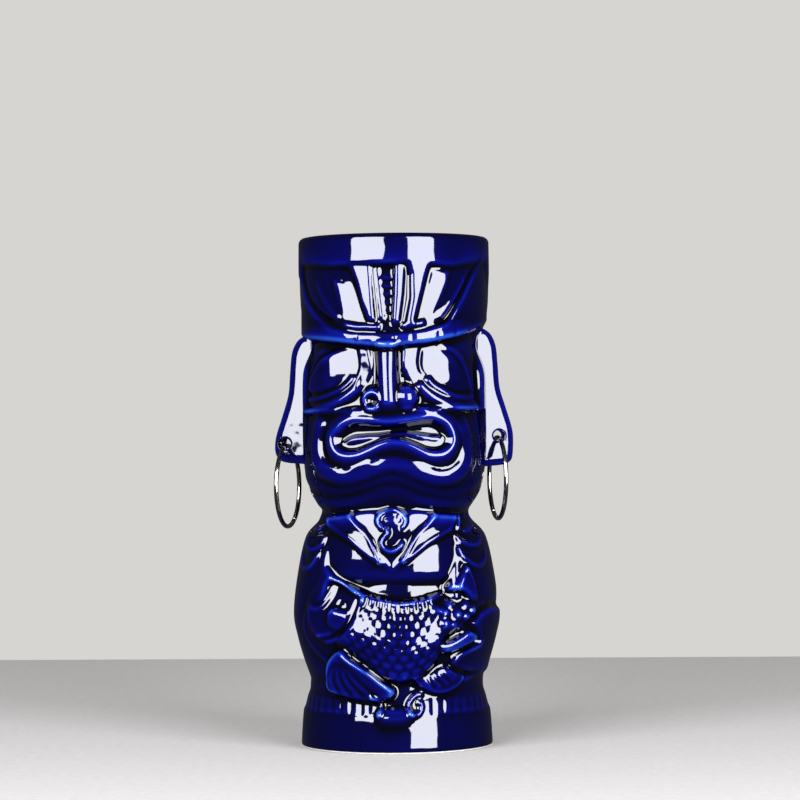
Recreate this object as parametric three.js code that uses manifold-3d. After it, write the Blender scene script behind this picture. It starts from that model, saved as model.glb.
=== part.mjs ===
// Tall tiki mug: a slip-cast stoneware cup in the shape of a standing carved figure, with a slab ear luted to
// each side of its head and a wire ring hung in the hole of each ear.
// Millimetres, +Z up. The origin is the centre of the foot, on the surface it stands on; the face looks along -Y.
// Left and right are as seen by someone who looks at the face.
import * as THREE from "three";
import { mergeVertices } from "three/addons/utils/BufferGeometryUtils.js";
import Module from "manifold-3d";

const wasm = await Module();
wasm.setup();

// --- Driving dimensions -------------------------------------------------------------------------------------

// Heights of the figure's stages, each counted from the one below it.
const footHeight = 15; // plain drum that the figure stands on
const waistRise = 11; // foot to the narrow ankles
const bellyRise = 24; // ankles to the widest part of the belly
const neckRise = 36.5; // belly to the neck crease under the chin
const jawRise = 9.5; // neck crease to the corner of the jaw
const cheekRise = 13; // jaw to the widest part of the cheeks
const templeRise = 31; // cheeks to the temples
const creaseRise = 10; // temples to the crease under the headdress
const brimRise = 10; // crease to the full bulge of the headdress band
const collarRise = 15; // band to the plain collar under the lip
const lipRise = 15; // collar to the crown of the lip

// Outer radii at those stages.
const footRadius = 35.8;
const waistRadius = 32.4;
const bellyRadius = 37.7;
const neckRadius = 27.3;
const cheekRadius = 34.2;
const jawInset = 2.2; // how far inside the cheeks the jaw stands,
const templeInset = 0.2; // the temples
const creaseInset = 3.2; // and the crease above them
const jawRadius = cheekRadius - jawInset;
const templeRadius = cheekRadius - templeInset;
const creaseRadius = cheekRadius - creaseInset;
const brimRadius = 34.8;
const collarRadius = 35.7;

const wall = 4.4; // thickness of the cast wall
const floorThickness = 6;
const footRecess = 1.8; // depth of the hollow under the foot
const footRingWidth = 6; // unglazed ring that the mug stands on
const footCorner = 1.5; // rounding of the foot's lower edge

const earThickness = 5;
const earSweep = 16.5; // degrees by which an ear's face turns outwards
const earRound = 1.4; // rounding of an ear's edge
const earRootInset = 0.7; // how far inside the widest part of the cheeks an ear's plane starts
const earHoleRadius = 2;
// The two ears are cut and set by hand, so they differ a little and the right one sits higher. Stem and lobe are how
// far the upper part and the lobe stand out from the head, and holeInset is the hole's centre to the lobe's edge.
// The heights are counted from the cheeks.
const ears = {
  left: { side: -1, stem: 6.3, lobe: 12.2, holeInset: 4.8, holeRise: 4, topRise: 45.6, bottomDrop: 3.2 },
  right: { side: 1, stem: 5.6, lobe: 11.1, holeInset: 6, holeRise: 6.6, topRise: 47.6, bottomDrop: 4.5 },
};

const ringOuterDiameter = 32;
const wireDiameter = 1.7;
const ringGap = 0.5; // butt gap where the wire was opened to hang it

const lutingGap = 0.3; // modelling gap between pieces that touch
const wireClearance = 0.45; // wire to the bottom of its hole, at the middle of the ear

const roundSegments = 52;
const outerRows = 58;
const innerRows = 18;

// --- The figure's outline, worked out from the stages ---------------------------------------------------------

const footTop = footHeight;
const waistZ = footTop + waistRise;
const bellyZ = waistZ + bellyRise;
const neckZ = bellyZ + neckRise;
const jawZ = neckZ + jawRise;
const cheekZ = jawZ + cheekRise;
const templeZ = cheekZ + templeRise;
const creaseZ = templeZ + creaseRise;
const brimZ = creaseZ + brimRise;
const collarZ = brimZ + collarRise;
const mugHeight = collarZ + lipRise;
const lipRadius = wall / 2;

// Outer outline from the foot's edge to the lip's outer side, as [radius, height].
const outerStations = [
  [footRadius, footCorner],
  [footRadius, footTop * 0.55],
  [footRadius - 0.7, footTop - 1.6],
  [waistRadius + 0.9, footTop + 1.4],
  [waistRadius, waistZ],
  [bellyRadius - 1.6, bellyZ - bellyRise * 0.4],
  [bellyRadius, bellyZ],
  [bellyRadius - 1.6, bellyZ + neckRise * 0.4],
  [neckRadius + 5.6, neckZ - neckRise * 0.22],
  [neckRadius, neckZ],
  [jawRadius, jawZ],
  [cheekRadius, cheekZ],
  [cheekRadius + 0.2, cheekZ + templeRise * 0.5],
  [templeRadius, templeZ],
  [creaseRadius, creaseZ],
  [brimRadius, brimZ],
  [collarRadius, collarZ],
  [collarRadius, mugHeight - lipRadius],
].map(([r, z]) => new THREE.Vector2(r, z));

// Cast clay leaves an even wall, so the inside follows the outside one wall further in.
const innerStations = [
  [collarRadius - wall, mugHeight - lipRadius],
  [collarRadius - wall, collarZ],
  [brimRadius - wall, brimZ],
  [creaseRadius - wall, creaseZ],
  [templeRadius - wall, templeZ],
  [cheekRadius - wall, cheekZ],
  [jawRadius - wall, jawZ],
  [neckRadius - wall, neckZ],
  [neckRadius + 5.6 - wall, neckZ - neckRise * 0.22],
  [bellyRadius - wall, bellyZ],
  [waistRadius - wall, waistZ],
  [waistRadius - wall, floorThickness + 6],
  [waistRadius - wall - 6, floorThickness],
].map(([r, z]) => new THREE.Vector2(r, z));

const smooth = (stations, rows) => new THREE.SplineCurve(stations).getSpacedPoints(rows);

// --- Carved relief on the outside -----------------------------------------------------------------------------

// Each form is an oval seen from the front: centre across, centre height, half width, half height and rise.
// Forms on both sides of the face are listed once with their distance from the middle.
const noseZ = cheekZ + 20;
const mouthZ = cheekZ + 6.5;
const carved = [
  { across: 0, z: noseZ + 7, wide: 30, high: 18, rise: -2.4, paired: false }, // hollow of the face
  { across: 0, z: noseZ + 8, wide: 9, high: 17, rise: 4.2, paired: false }, // bridge of the nose
  { across: 6.8, z: noseZ, wide: 9, high: 9, rise: 3.6, paired: true }, // nostrils
  { across: 16, z: noseZ + 7, wide: 13, high: 11, rise: 2.6, paired: true }, // eyes
  { across: 0, z: mouthZ, wide: 30, high: 16, rise: 3, paired: false }, // lips
  { across: 0, z: mouthZ, wide: 18, high: 7, rise: -4, paired: false }, // open mouth
  { across: 0, z: creaseZ + 3, wide: 36, high: 8, rise: 3.4, paired: false }, // middle of the headdress band
  { across: 0, z: bellyZ + 3, wide: 36, high: 34, rise: -2.6, paired: false }, // front, hollowed for the fish
  { across: 3, z: bellyZ - 9, wide: 33, high: 17, rise: 3.3, paired: false }, // fish held across the belly
  { across: -13, z: waistZ + 3, wide: 12, high: 10, rise: 1.8, paired: false }, // fin under the fish's head
  { across: 19, z: waistZ + 3, wide: 9, high: 8, rise: 2.4, paired: false }, // hand under the fish's tail
];

const swell = (d) => (d < 1 ? (1 - d * d) * (1 - d * d) : 0); // 1 in the middle, 0 at the edge

function reliefAt(x, y, z) {
  if (y >= 0) return 0;
  let rise = 0;
  for (const form of carved) {
    for (const hand of form.paired ? [-1, 1] : [1]) {
      const d = Math.hypot((x - hand * form.across) / form.wide, (z - form.z) / form.high);
      rise += form.rise * swell(d);
    }
  }
  return rise;
}

// Turns an outline about the upright axis and carves its first `carvedRows` rows.
function turned(outline, carvedRows, grow = 0) {
  const geometry = new THREE.LatheGeometry(outline, roundSegments).rotateX(Math.PI / 2);
  const place = geometry.getAttribute("position");
  for (let i = 0; i < place.count; i++) {
    if (i % outline.length >= carvedRows) continue;
    const [x, y, z] = [place.getX(i), place.getY(i), place.getZ(i)];
    const radius = Math.hypot(x, y);
    if (radius < lipRadius) continue;
    const scale = (radius + reliefAt(x, y, z) + grow) / radius;
    place.setXY(i, x * scale, y * scale);
  }
  return geometry;
}

// --- Solids ----------------------------------------------------------------------------------------------------

function solidOf(geometry) {
  const bare = geometry.index ? geometry.toNonIndexed() : geometry.clone();
  bare.deleteAttribute("normal");
  bare.deleteAttribute("uv");
  const merged = mergeVertices(bare, 1e-4);
  return new wasm.Manifold(
    new wasm.Mesh({
      numProp: 3,
      vertProperties: merged.getAttribute("position").array,
      triVerts: new Uint32Array(merged.index.array),
    }),
  );
}

function geometryOf(solid) {
  const { vertProperties, triVerts } = solid.getMesh();
  return new THREE.BufferGeometry()
    .setAttribute("position", new THREE.BufferAttribute(vertProperties, 3))
    .setIndex(new THREE.BufferAttribute(triVerts, 1))
    .toNonIndexed();
}

function named(name, geometry, material) {
  const mesh = new THREE.Mesh(geometry, material);
  mesh.name = name;
  geometry.computeVertexNormals();
  return mesh;
}

// The cup: up the outside, over the lip, down the inside, and across the hollow under the foot.
function cupGeometry() {
  const outside = smooth(outerStations, outerRows);
  const crown = [135, 90, 45].map((turn) => {
    const a = THREE.MathUtils.degToRad(180 - turn);
    const middle = collarRadius - lipRadius;
    return new THREE.Vector2(middle + lipRadius * Math.cos(a), mugHeight - lipRadius + lipRadius * Math.sin(a));
  });
  const footInner = footRadius - footCorner - footRingWidth;
  const outline = [
    new THREE.Vector2(0, footRecess),
    new THREE.Vector2(footInner - footRecess, footRecess),
    new THREE.Vector2(footInner, 0),
    new THREE.Vector2(footRadius - footCorner, 0),
    ...outside,
    ...crown,
    ...smooth(innerStations, innerRows),
    new THREE.Vector2(0, floorThickness),
  ];
  return turned(outline, 4 + outside.length);
}

// The figure as a solid, grown by the luting gap, which cuts the ears to the shape of the head.
function headEnvelope() {
  const outside = smooth(outerStations, outerRows);
  const outline = [
    new THREE.Vector2(0, outside[0].y),
    ...outside,
    new THREE.Vector2(0, mugHeight - lipRadius),
  ];
  return solidOf(turned(outline, outline.length, lutingGap));
}

// Where an ear's plane leaves the head: its own frame has x outwards, y backwards and z up.
const earRoot = cheekRadius - earRootInset;

function earFrame(side) {
  const sweep = THREE.MathUtils.degToRad(earSweep) * side;
  return new THREE.Matrix4().makeRotationZ(sweep).setPosition(side * earRoot, 0, 0);
}

// An ear is a rounded slab: a narrow stem that widens to a lobe. Drawn for the right side and mirrored for the left.
function earGeometry({ side, stem, lobe, holeInset, holeRise, topRise, bottomDrop }) {
  const top = cheekZ + topRise;
  const hole = cheekZ + holeRise;
  const bottom = cheekZ - bottomDrop;
  const outline = new THREE.Shape();
  outline.moveTo(-6, bottom - 0.6);
  outline.lineTo(-6, top);
  outline.lineTo(-0.5, top);
  outline.splineThru(
    [
      [stem * 0.45, top - 2.6],
      [stem * 0.85, top - 7],
      [stem, top - 15],
      [stem + 0.6, top - 23],
      [lobe * 0.76, hole + 10.5],
      [lobe * 0.95, hole + 3.5],
      [lobe, hole - 1],
      [lobe * 0.93, bottom + 3.4],
      [lobe * 0.78, bottom + 1.6],
    ].map(([out, z]) => new THREE.Vector2(out, z)),
  );
  outline.lineTo(-6, bottom - 0.6);

  const slab = new THREE.ExtrudeGeometry(outline, {
    depth: earThickness - 2 * earRound,
    bevelThickness: earRound,
    bevelSize: earRound,
    bevelOffset: -earRound,
    bevelSegments: 3,
    curveSegments: 3,
  });
  slab.translate(0, 0, -(earThickness - 2 * earRound) / 2).rotateX(Math.PI / 2);
  const drill = new THREE.CylinderGeometry(earHoleRadius, earHoleRadius, earThickness * 2, 24);
  drill.translate(lobe - holeInset, 0, hole);

  let solid = solidOf(slab).subtract(solidOf(drill));
  if (side < 0) solid = solid.mirror([1, 0, 0]);
  const placed = geometryOf(solid).applyMatrix4(earFrame(side));
  return geometryOf(solidOf(placed).subtract(headEnvelope()));
}

// A ring hangs in its ear's hole with its plane along the hole, so it swings about the wire at the hole's bottom.
function ringGeometry({ side, lobe, holeInset, holeRise }) {
  const radius = (ringOuterDiameter - wireDiameter) / 2;
  const seat = earHoleRadius - wireDiameter / 2 - wireClearance;
  const centre = new THREE.Vector3(side * (lobe - holeInset), 0, cheekZ + holeRise - seat - radius);

  // The gap faces down and a little to the back.
  const gapAt = THREE.MathUtils.degToRad(-60);
  const halfGap = ringGap / radius / 2;
  class WireLine extends THREE.Curve {
    getPoint(t, target = new THREE.Vector3()) {
      const a = gapAt + halfGap + t * (2 * Math.PI - 2 * halfGap);
      return target.set(centre.x, centre.y + radius * Math.cos(a), centre.z + radius * Math.sin(a));
    }
  }
  const section = new THREE.Shape().absarc(0, 0, wireDiameter / 2, 0, 2 * Math.PI);
  const wire = new THREE.ExtrudeGeometry(section, {
    steps: 48,
    curveSegments: 5,
    extrudePath: new WireLine(),
  });
  return wire.applyMatrix4(earFrame(side));
}

// --- The assembly ------------------------------------------------------------------------------------------------

const glaze = new THREE.MeshStandardMaterial({ name: "cobalt_glaze", color: "#0a1070", roughness: 0.06, metalness: 0 });
const steel = new THREE.MeshStandardMaterial({ name: "ring_steel", color: "#b9b6b0", roughness: 0.12, metalness: 1 });

const mug = new THREE.Group();
mug.add(named("mug_body", cupGeometry(), glaze));
for (const [hand, ear] of Object.entries(ears)) {
  mug.add(named(`${hand}_ear`, earGeometry(ear), glaze));
  mug.add(named(`${hand}_ear_ring`, ringGeometry(ear), steel));
}

export default mug;
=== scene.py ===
import math

import bmesh
import bpy
import numpy as np
from mathutils import Matrix, Vector
from mathutils.geometry import tessellate_polygon


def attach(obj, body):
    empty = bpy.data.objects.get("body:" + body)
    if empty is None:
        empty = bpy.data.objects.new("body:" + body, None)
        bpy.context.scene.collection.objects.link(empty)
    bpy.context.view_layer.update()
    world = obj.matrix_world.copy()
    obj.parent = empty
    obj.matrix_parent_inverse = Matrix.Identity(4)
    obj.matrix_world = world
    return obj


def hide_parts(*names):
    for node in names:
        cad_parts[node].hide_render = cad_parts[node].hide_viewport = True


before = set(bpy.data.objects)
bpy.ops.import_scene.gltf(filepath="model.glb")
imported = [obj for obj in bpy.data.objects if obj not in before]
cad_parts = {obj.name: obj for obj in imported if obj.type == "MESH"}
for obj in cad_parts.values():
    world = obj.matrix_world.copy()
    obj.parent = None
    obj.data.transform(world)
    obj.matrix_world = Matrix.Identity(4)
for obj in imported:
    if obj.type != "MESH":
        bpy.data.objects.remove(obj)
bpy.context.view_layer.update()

# ---- The mug itself -------------------------------------------------------------------------------------
# One slip-cast stoneware shell in the shape of a standing carved figure that holds a fish across its belly.
# The carving is cast with the wall, softened by a thick cobalt glaze, and only the ring that it stands on
# is wiped bare before firing.

MM = 0.001

# The figure's sizes, in millimetres.
FOOT_RADIUS = 35.8
FOOT_CORNER = 1.5
COLLAR_RADIUS = 35.7
MUG_HEIGHT = 190.0
WALL = 4.4
LIP_RADIUS = WALL / 2
FLOOR_TOP = 6.0
FOOT_HOLLOW = 1.8
FOOT_RING_WIDTH = 6.0
LIP_Z = MUG_HEIGHT - LIP_RADIUS

# The radius and height of each stage of the outline, outside from the foot up and inside from the lip down.
OUTER_STAGES = [
    (FOOT_RADIUS, FOOT_CORNER), (35.5, 7.0), (34.9, 13.2), (33.3, 16.4), (32.4, 26.0), (36.1, 40.4),
    (37.7, 50.0), (36.1, 64.6), (32.9, 78.5), (27.3, 86.5), (32.0, 96.0), (34.2, 109.0), (34.4, 124.5),
    (34.0, 140.0), (31.0, 150.0), (34.8, 160.0), (COLLAR_RADIUS, 175.0), (COLLAR_RADIUS, LIP_Z),
]
INNER_STAGES = [
    (COLLAR_RADIUS - WALL, LIP_Z), (COLLAR_RADIUS - WALL, 175.0), (30.4, 160.0), (26.6, 150.0),
    (29.6, 140.0), (29.8, 109.0), (27.6, 96.0), (22.9, 86.5), (28.5, 78.5), (33.3, 50.0), (28.0, 26.0),
    (28.0, 12.0), (22.0, FLOOR_TOP),
]


def curve_through(points, per_span=8, closed=False):
    """A smooth line through a few points (Catmull-Rom)."""
    p = np.array(points, float)
    before, after = (p[-1:], p[:2]) if closed else (2 * p[:1] - p[1:2], 2 * p[-1:] - p[-2:-1])
    q = np.vstack([before, p, after])
    t = np.linspace(0, 1, per_span, endpoint=False)[:, None]
    spans = []
    for a, b, c, d in zip(q, q[1:], q[2:], q[3:]):
        bend, twist = 2 * a - 5 * b + 4 * c - d, 3 * b - a - 3 * c + d
        spans.append(0.5 * (2 * b + (c - a) * t + bend * t**2 + twist * t**3))
    spans.append(p[:1] if closed else p[-1:])
    return np.vstack(spans)


# The carved surface is a sheet of points: columns round the figure, rows up it. Both lie closest together
# where the carving is finest, on the front.
COLUMNS = 272
ROWS = 318


def spaced(low, high, count, density):
    """Positions from low to high, closest together where density is high."""
    fine = np.linspace(low, high, 4001)
    total = np.concatenate([[0], np.cumsum(density(0.5 * (fine[1:] + fine[:-1])))])
    return np.interp(np.linspace(0, total[-1], count), total, fine)


turn = spaced(-math.pi, math.pi, COLUMNS + 1,
              lambda a: 0.27 + 0.73 / (1 + np.exp((np.abs(a) - 1.25) * 9)))[:-1]
rise = spaced(FOOT_CORNER, LIP_Z, ROWS, lambda z: np.where((z > 12) & (z < 180.5), 1.0, 0.35))
outline = curve_through(OUTER_STAGES, 24)
radius = np.interp(rise, outline[:, 1], outline[:, 0])

# Places on the carving are given as millimetres round the figure from the middle of its face, and height.
around = radius[:, None] * turn[None, :]
height = np.repeat(rise[:, None], COLUMNS, axis=1)
base = np.repeat(radius[:, None], COLUMNS, axis=1)

# The head is a little square: its front is flatter, and its corners fuller, than the round collar and foot.
squareness = np.interp(rise, [20, 40, 62, 84, 92, 140, 150, 156, 172],
                       [0, 0.03, 0.03, 0.02, 0.09, 0.10, 0.05, 0.03, 0])
square = 1 + squareness[:, None] * np.where(np.abs(turn) < math.pi / 2, np.sin(2 * turn) ** 2, 0)[None, :]
carved = base * square


def near(line, reach):
    """The points within reach of a line, with their distance to it and how far along it they lie, 0 to 1."""
    low, high = line.min(0) - reach, line.max(0) + reach
    pick = (around > low[0]) & (around < high[0]) & (height > low[1]) & (height < high[1])
    spots = np.stack([around[pick], height[pick]], 1)
    gap = np.full(len(spots), 1e9)
    along = np.zeros(len(spots))
    for i, (a, b) in enumerate(zip(line[:-1], line[1:])):
        step = b - a
        t = np.clip(((spots - a) @ step) / max(step @ step, 1e-12), 0, 1)
        d = np.hypot(*(spots - a - t[:, None] * step).T)
        closer = d < gap
        gap[closer] = d[closer]
        along[closer] = (i + t[closer]) / (len(line) - 1)
    return pick, gap, along


def ease(t):
    """A smooth step from 0 to 1."""
    t = np.clip(t, 0, 1)
    return t * t * (3 - 2 * t)


def roll(points, width, lift, ends=0.12, power=0.75):
    """Lays a rounded roll of clay along a line, or cuts a rounded groove where lift is negative.
    Width and lift may each be a pair, for the line's start and end. Ends is the share of the line over which
    it fades in and out, and a low power flattens the roll's top."""
    line = curve_through(points)
    wide = np.array([width, width] if np.isscalar(width) else width, float)
    tall = np.array([lift, lift] if np.isscalar(lift) else lift, float)
    pick, gap, along = near(line, wide.max() / 2 + 0.1)
    across = np.clip(gap / (wide[0] + (wide[1] - wide[0]) * along) * 2, 0, 1)
    shape = (1 - across**2) ** power * ease(along / ends) * ease((1 - along) / ends)
    carved[pick] += (tall[0] + (tall[1] - tall[0]) * along) * shape


def depth_inside(points, smooth=True, margin=0.5):
    """The points in and near an outline, with how deep inside it each one lies (negative outside)."""
    line = curve_through(points, 6, closed=True) if smooth else np.array(list(points) + [points[0]], float)
    pick, gap, _ = near(line, margin)
    x, y = around[pick], height[pick]
    within = np.zeros(len(x), bool)
    for (x0, y0), (x1, y1) in zip(line[:-1], line[1:]):
        if y0 == y1:
            continue
        crosses = (y0 > y) != (y1 > y)
        within ^= crosses & (x < (x1 - x0) * (y - y0) / (y1 - y0) + x0)
    return pick, np.where(within, gap, -gap)


def pad(points, lift, edge=1.2, crown=0.0, reach=4.0, smooth=True):
    """Raises an outlined area by lift over an edge, and crowns it towards its middle."""
    pick, deep = depth_inside(points, smooth, edge)
    t = np.clip(deep / reach, 0, 1)
    carved[pick] += lift * ease(deep / edge + 0.5) + crown * np.where(deep > 0, t * (2 - t), 0)


def bring(pick, deep, edge, goal):
    """Moves points to a goal radius over an edge that is rounded at its top and crisp at its foot."""
    t = np.clip(deep / edge + 0.5, 0, 1)
    t = np.where(goal > carved[pick], np.sin(t * math.pi / 2), 1 - np.cos(t * math.pi / 2))
    carved[pick] += (goal - carved[pick]) * t


def by_height(value, pick):
    """A value, or (height, value) stations read at each picked point's height."""
    return value if np.isscalar(value) else np.interp(height[pick], *np.array(sorted(value), float).T)


def level(points, to, edge=1.2, smooth=True):
    """Brings an outlined area to a radius, over an edge."""
    pick, deep = depth_inside(points, smooth, edge)
    bring(pick, deep, edge, by_height(to, pick) * square[pick])


def facet(points, facing, out, most, edge=1.2, smooth=True):
    """Cuts an outlined area to a flat that faces a bearing. Out is its distance from the axis, and the area
    stays within the radius most."""
    pick, deep = depth_inside(points, smooth, edge)
    bearing = np.repeat(turn[None, :], ROWS, axis=0)[pick] - math.radians(facing)
    flat = by_height(out, pick) / np.cos(bearing)
    bring(pick, deep, edge, most - np.log1p(np.exp((most - flat) * 2.0)) / 2.0)


def contour(points, stations):
    """Adds a lift that depends on how deep inside an outline a point lies, from (depth, lift) stations."""
    depths, lifts = np.array(stations, float).T
    pick, deep = depth_inside(points, True, -depths[0])
    carved[pick] += np.interp(deep, depths, lifts)


def dome(centre, half, lift, lean=0.0, power=1.0):
    """A rounded boss, or a hollow where lift is negative."""
    c, s = math.cos(math.radians(lean)), math.sin(math.radians(lean))
    dx, dz = around - centre[0], height - centre[1]
    d2 = ((dx * c + dz * s) / half[0]) ** 2 + ((dz * c - dx * s) / half[1]) ** 2
    carved[...] += lift * np.clip(1 - d2, 0, 1) ** power


# Headdress: feathers stand in a recess between the plain collar and the curved band over the brow.
recess_top = [(-46, 180), (-36, 179.6), (-25, 178.6), (-18, 178.3), (-5, 178.6), (6, 179), (18, 178.4),
              (24, 178.0), (34, 179.6), (42, 180.3)]
band_top = [(40, 178), (33, 170), (26.4, 162.8), (21.3, 157.8), (11.8, 154.9), (2, 153.6), (-11.8, 154),
            (-21.2, 155.9), (-27.1, 158.2), (-34.9, 162.4), (-42.9, 167.6), (-47.5, 173)]
level(recess_top + band_top, 34.2, 1.6, smooth=False)
level([(-21.5, 178.3), (-5, 178.4), (6, 178.8), (19.5, 177.9), (17.6, 171), (14.8, 164), (11.5, 157.2),
       (2, 154.6), (-10, 154.8), (-13.4, 157.6), (-16.4, 163.5), (-19.4, 171)], 34.0, 1.6, smooth=False)
for flank in ([(-16.6, 179.0), (-14.9, 176.5), (-12.9, 172.3), (-10.7, 165), (-8.8, 160), (-7.8, 158),
               (-5.6, 158), (-6.0, 161), (-6.6, 167), (-7.2, 174), (-7.6, 179.0)],
              [(6.4, 180), (7.9, 175), (7.9, 166.3), (7.0, 162), (5.8, 157.2), (8.6, 156.8), (10, 162),
               (12.1, 168.8), (13.6, 174.3), (15.8, 180)]):
    level(flank, 35.5, 1.5, smooth=False)
facet([(-22.8, 173), (-19.1, 171.9), (-16.7, 171.2), (-14.4, 167), (-10.9, 160.4), (-8, 156.4),
       (-15.3, 155.9), (-17.8, 158.7), (-19.8, 163.5), (-21.7, 169)], -20, 34.3, 35.9, 1.5, smooth=False)
facet([(16.6, 176.2), (23.4, 175.9), (22.2, 171.2), (19.4, 165.2), (16.4, 160.1), (13.5, 156.8),
       (8.2, 156.6), (10.6, 161.5), (13.2, 167), (15.4, 171.4)], 21, 34.4, 35.9, 1.5, smooth=False)
roll([(22.4, 174.5), (20.4, 170), (17.8, 164.8), (14.6, 159)], 1.2, 0.35)
roll([(-18, 157.0), (-12, 155.9), (-6, 155.5), (-3, 155.7)], 2.4, 1.5)
roll([(3.6, 155.9), (8, 156.3), (13, 157.5)], 2.4, 1.4)
roll([(-34, 174), (-28.5, 167), (-23.5, 161.5), (-19, 158.5)], 2.6, 0.5)
roll([(33, 175.5), (28, 168.5), (22.5, 162.5), (17.5, 158.5)], 2.6, 0.5)
facet([(-4.2, 178.2), (2.0, 178.2), (1.2, 168), (0.6, 156.6), (-2.4, 156.6), (-3.4, 168)], 2.4, 33.4, 36.0,
      1.2, smooth=False)
facet([(-6.2, 177.2), (-4.6, 177.2), (-3.4, 168), (-2.0, 158), (-3.7, 158), (-5.0, 168)], -11, 34.5, 36.0,
      1.0, smooth=False)
facet([(1.9, 178.2), (5.7, 178.2), (4.9, 168), (3.3, 157), (0.9, 157), (1.6, 168)], 15, 34.6, 36.0, 1.0,
      smooth=False)
for step in range(6):
    low = 173.6 - 3.05 * step
    half = 3.2 - 0.42 * step
    middle = -1.3 + 0.1 * step
    roll([(middle - half * 0.8, low), (middle + half * 0.8, low)], 2.0, 0.7, 0.1, power=0.6)
roll([(-46.5, 175.5), (-42, 169), (-34.5, 163.6), (-26.6, 159.3), (-21, 157)], 1.8, -1.3)
roll([(40, 178.5), (34.4, 173.2), (27.6, 165.6), (21.8, 159.2), (16, 156.6)], 1.8, -1.3)

# The band: a crescent that rides up the sides of the head, rolls over at its top and tucks under at the brow.
band_low = [(-56, 153.6), (-42.6, 152.4), (-38.3, 151.7), (-26.1, 150.7), (-17.8, 149.8), (-7.8, 148.3),
            (0.3, 147.9), (11.3, 149.2), (22.6, 151.5), (33.1, 154), (46, 158), (58, 158.5)]
band_high = [(56, 172), (48, 181), (42, 179.8), (38.4, 176.2), (32.6, 169.6), (26.2, 162.2), (21.3, 157.3),
             (11.8, 154.4), (2, 153.1), (-11.8, 153.5), (-21.2, 155.4), (-27.1, 157.8), (-34.9, 162.1),
             (-42.9, 167.2), (-48.3, 173.6), (-56, 176)]
level(band_low + band_high, 34.8, 1.2, smooth=False)
roll([(-44, 155.0), (-26.1, 153.4), (-17.8, 152.5), (-7.8, 151.2), (0.3, 150.8), (11.3, 152.0),
      (22.6, 154.3), (33, 157.6)],
     6.0, 0.6, 0.1, power=0.35)
roll(band_low[1:-1], 2.6, -1.0)
roll([(-47, 172), (-42.4, 166.6), (-34.6, 161.5), (-26.9, 157.2), (-21.2, 154.9), (-11.8, 153), (2, 152.6),
      (11.8, 153.8), (21.1, 156.7), (26.6, 161.6), (33, 169), (38.6, 175.4)], 1.2, 0.2)
for place in (-11.3, 1.2, 7.1, 16.1, 22.4, 30.1):
    low = 151.2 + 0.0036 * (place + 2) ** 2
    roll([(place, low - 1.6), (place + 0.2, low + 1.5)], 1.1, -0.5, 0.2)

# The face: under the band the brow steps back; eyes, lids and cheeks are built up on it.
level([(-41, 151.0), (-26, 149.8), (-8, 147.6), (0, 147), (11, 148.6), (30, 152.4), (39, 154), (41, 126),
       (-41, 125)],
      [(150, 30.8), (145, 31.2), (136, 31.8), (126, 32.4)], 2.4, smooth=False)
eyes = {
    "left": {
        "ball": [(-36.6, 132.9), (-35.4, 137.2), (-29.5, 142.6), (-22.4, 146.2), (-16.8, 147.6),
                 (-12.6, 147.0), (-12.4, 142.5), (-14.4, 138.6), (-18.4, 135.7), (-24, 133.4),
                 (-31, 132.0)],
        "lid": [(-40, 129.6), (-33, 129.5), (-26.8, 130.4), (-20.5, 132.4), (-16.3, 135.4), (-14.0, 138.4)],
        "fold": [(-42, 125.0), (-34, 125.3), (-27.5, 126.4), (-22.5, 127.7), (-17.8, 129.9), (-13.6, 132.9),
                 (-10.9, 136.8), (-10.0, 141), (-10.0, 148)],
        "brow": [(-38.5, 134.8), (-36.0, 140.6), (-30.4, 145.4), (-24.6, 148.2)],
        "facing": -15.0,
        "most": 36.0,
        "width": (3.4, 4.6),
        "inner": [(-11.8, 148), (-7.8, 148), (-7.4, 142), (-7.8, 138), (-9.6, 134.4), (-12.8, 133.6),
                  (-12.4, 137), (-11.7, 143)],
        "turned": -13.0,
    },
    "right": {
        "ball": [(11.0, 147.0), (14.8, 147.6), (18.6, 146.9), (23.6, 144.2), (27.6, 140.5), (30.4, 136.3),
                 (31.0, 132.6), (26.4, 132.8), (21.8, 134.2), (17.2, 136.0), (13.4, 138.6), (11.3, 142)],
        "lid": [(13.4, 137.6), (15.9, 134.4), (20.3, 131.8), (24.8, 130.0), (30.6, 129.6), (36, 130.4)],
        "fold": [(7.4, 148), (7.2, 141.6), (8.8, 136.9), (11.6, 133.3), (15.5, 130.2), (19.4, 128.3),
                 (24, 127.0), (29, 126.7), (38, 127.4)],
        "brow": [(17, 149.6), (24.7, 146.4), (29.4, 142.0), (32.8, 136), (33.8, 131.8)],
        "facing": 18.0,
        "most": 34.7,
        "width": (4.6, 3.4),
        "inner": [(3.9, 148), (10.2, 148.4), (9.9, 143), (10.6, 139), (12.6, 136.2), (9.8, 134.2),
                  (6.4, 136.8), (4.6, 140.6)],
        "turned": 15.0,
    },
}
for eye in eyes.values():
    facet(eye["ball"], eye["facing"], [(131, 33.0), (139, 32.6), (148, 31.8)], eye["most"], 2.0)
    pad(eye["ball"], 0.0, 0.9, 0.4, 7.0)
    roll(eye["lid"], 2.6, 1.1, 0.06)
    roll(eye["fold"], eye["width"], 1.6, 0.04, power=0.6)
    facet(eye["inner"], eye["turned"], 33.0, 34.4, 1.1, smooth=False)
    roll(eye["brow"], 2.3, 0.8)
roll([(-12.2, 148), (-12.2, 142.6), (-13.6, 138.9), (-17.6, 135.4), (-24, 132.6), (-31, 131.2),
      (-38, 131.4)], 1.0, -0.6, 0.05)
roll([(10.8, 148), (11.0, 141.8), (13.2, 138.0), (17.0, 135.2), (22, 133.2), (27, 131.7), (33, 131.6)], 1.0,
     -0.6, 0.05)
roll([(-46, 124.2), (-34, 123.6), (-25.4, 123.7), (-18, 124.2), (-13.5, 125.8)], 1.9, -1.2)
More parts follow.
